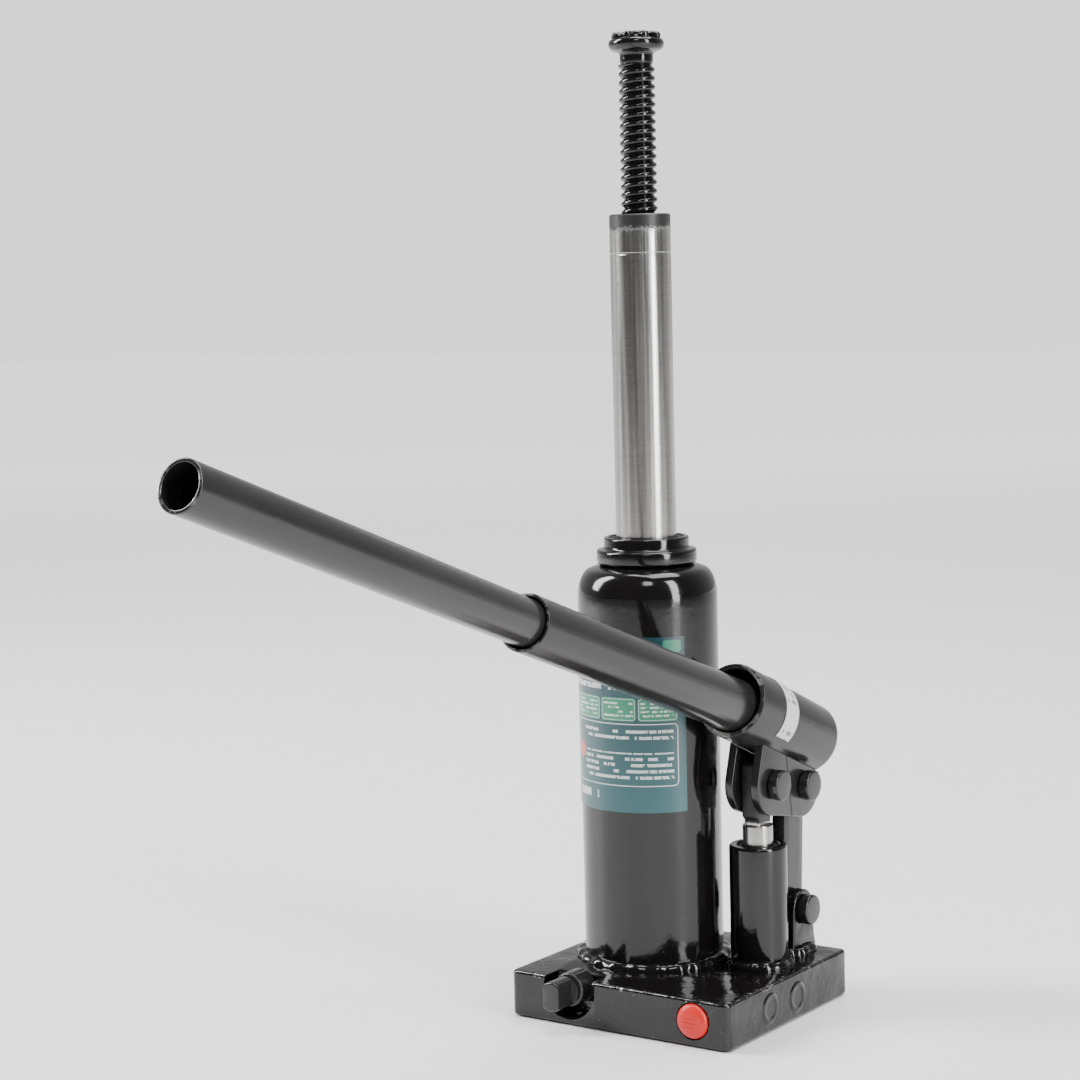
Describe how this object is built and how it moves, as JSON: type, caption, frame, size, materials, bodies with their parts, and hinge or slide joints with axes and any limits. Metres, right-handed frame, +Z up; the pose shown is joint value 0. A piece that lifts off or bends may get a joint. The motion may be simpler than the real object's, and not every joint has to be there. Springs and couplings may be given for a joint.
{
  "type": "bottle jack",
  "caption": "Hydraulic bottle jack: square base, round reservoir, rising ram with extension screw, side pump with linkage, handle socket and telescoping handle.",
  "frame": {"origin": "underside of the base, on the axis of the ram", "axes": "+Z up along the ram, +X along the pump linkage pins towards the pump side of the base, handle reaches out towards -Y"},
  "size_m": [0.0906, 0.332, 0.345],
  "materials": {
    "black_gloss": "gloss black paint",
    "black_satin": "semi-gloss black paint",
    "polished_steel": "ground and polished",
    "dark_steel": "oiled dark steel",
    "black_rubber": "matte",
    "red_plastic": "moulded, semi-gloss",
    "teal_label": "printed film, satin",
    "white_label": "printed film, satin"
  },
  "bodies": {
    "frame": {"base_block": "black_gloss", "tank_shell": "black_gloss", "gland_cap": "black_gloss", "pump_barrel": "black_gloss", "tank_weld_bead": "black_gloss", "pump_weld_bead": "black_gloss", "suction_plug": "black_gloss", "delivery_plug": "black_gloss", "link_foot_pin": "black_satin", "safety_spring": "polished_steel", "safety_ball": "polished_steel", "suction_ball": "polished_steel", "delivery_ball": "polished_steel", "release_ball": "polished_steel", "safety_adjuster": "polished_steel", "pressure_cylinder": "dark_steel", "link_foot_pin_washer": "dark_steel", "link_foot_pin_cotter": "dark_steel", "ram_wiper": "black_rubber", "cylinder_gasket": "black_rubber", "pump_packing": "black_rubber", "oil_filler_plug": "black_rubber", "safety_cap": "red_plastic", "tank_label": "teal_label"},
    "ram": {"ram": "polished_steel", "ram_cup_seal": "black_rubber", "ram_retaining_nut": "dark_steel"},
    "screw_carrier": {"screw_stop_ring": "polished_steel"},
    "screw": {"extension_screw": "black_gloss"},
    "plunger": {"pump_plunger": "polished_steel", "plunger_seal": "black_rubber"},
    "link": {"link_bar": "black_satin"},
    "socket": {"socket_tube": "black_satin", "socket_ear_near": "black_satin", "socket_ear_far": "black_satin", "socket_sticker": "white_label", "plunger_pin": "black_satin", "plunger_pin_washer": "dark_steel", "plunger_pin_cotter": "dark_steel", "link_top_pin": "black_satin", "link_top_pin_washer": "dark_steel", "link_top_pin_cotter": "dark_steel"},
    "handle_outer": {"handle_outer_tube": "black_satin"},
    "handle_inner": {"handle_inner_tube": "black_satin"},
    "release": {"release_valve": "black_satin", "release_o_ring": "black_rubber"}
  },
  "joints": [
    {"name": "ram_slide", "type": "slide", "parent": "frame", "child": "ram", "axis": [0, 0, 1], "range_m": [-0.11, 0]},
    {"name": "screw_slide", "type": "slide", "parent": "ram", "child": "screw_carrier", "axis": [0, 0, 1], "range_m": [-0.055, 0]},
    {"name": "screw_turn", "type": "hinge", "parent": "screw_carrier", "child": "screw", "pos_m": [0, 0, 0.3], "axis": [0, 0, 1], "range_deg": [-6600, 0]},
    {"name": "link_swing", "type": "hinge", "parent": "frame", "child": "link", "pos_m": [0.039, 0.028, 0.0322], "axis": [1, 0, 0], "range_deg": [-2, 2]},
    {"name": "socket_turn", "type": "hinge", "parent": "link", "child": "socket", "pos_m": [0.039, 0.03, 0.0771], "axis": [1, 0, 0], "range_deg": [-20, 25]},
    {"name": "plunger_slide", "type": "slide", "parent": "frame", "child": "plunger", "axis": [0, 0, 1], "range_m": [-0.009, 0.0075]},
    {"name": "handle_pull", "type": "slide", "parent": "socket", "child": "handle_outer", "axis": [0, -0.9409, 0.3387], "range_m": [0, 0.05]},
    {"name": "handle_telescope", "type": "slide", "parent": "handle_outer", "child": "handle_inner", "axis": [0, -0.9409, 0.3387], "range_m": [-0.13, 0.03]},
    {"name": "release_turn", "type": "hinge", "parent": "frame", "child": "release", "pos_m": [-0.0075, -0.045, 0.0124], "axis": [0, -1, 0], "range_deg": [0, 540]}
  ],
  "couplings": [
    {"joint": "screw_turn", "follows": "screw_slide", "rad_per_m": 2094.4},
    {"joint": "link_swing", "follows": "socket_turn", "ratio": -0.061},
    {"joint": "plunger_slide", "follows": "socket_turn", "m_per_rad": -0.0202}
  ]
}
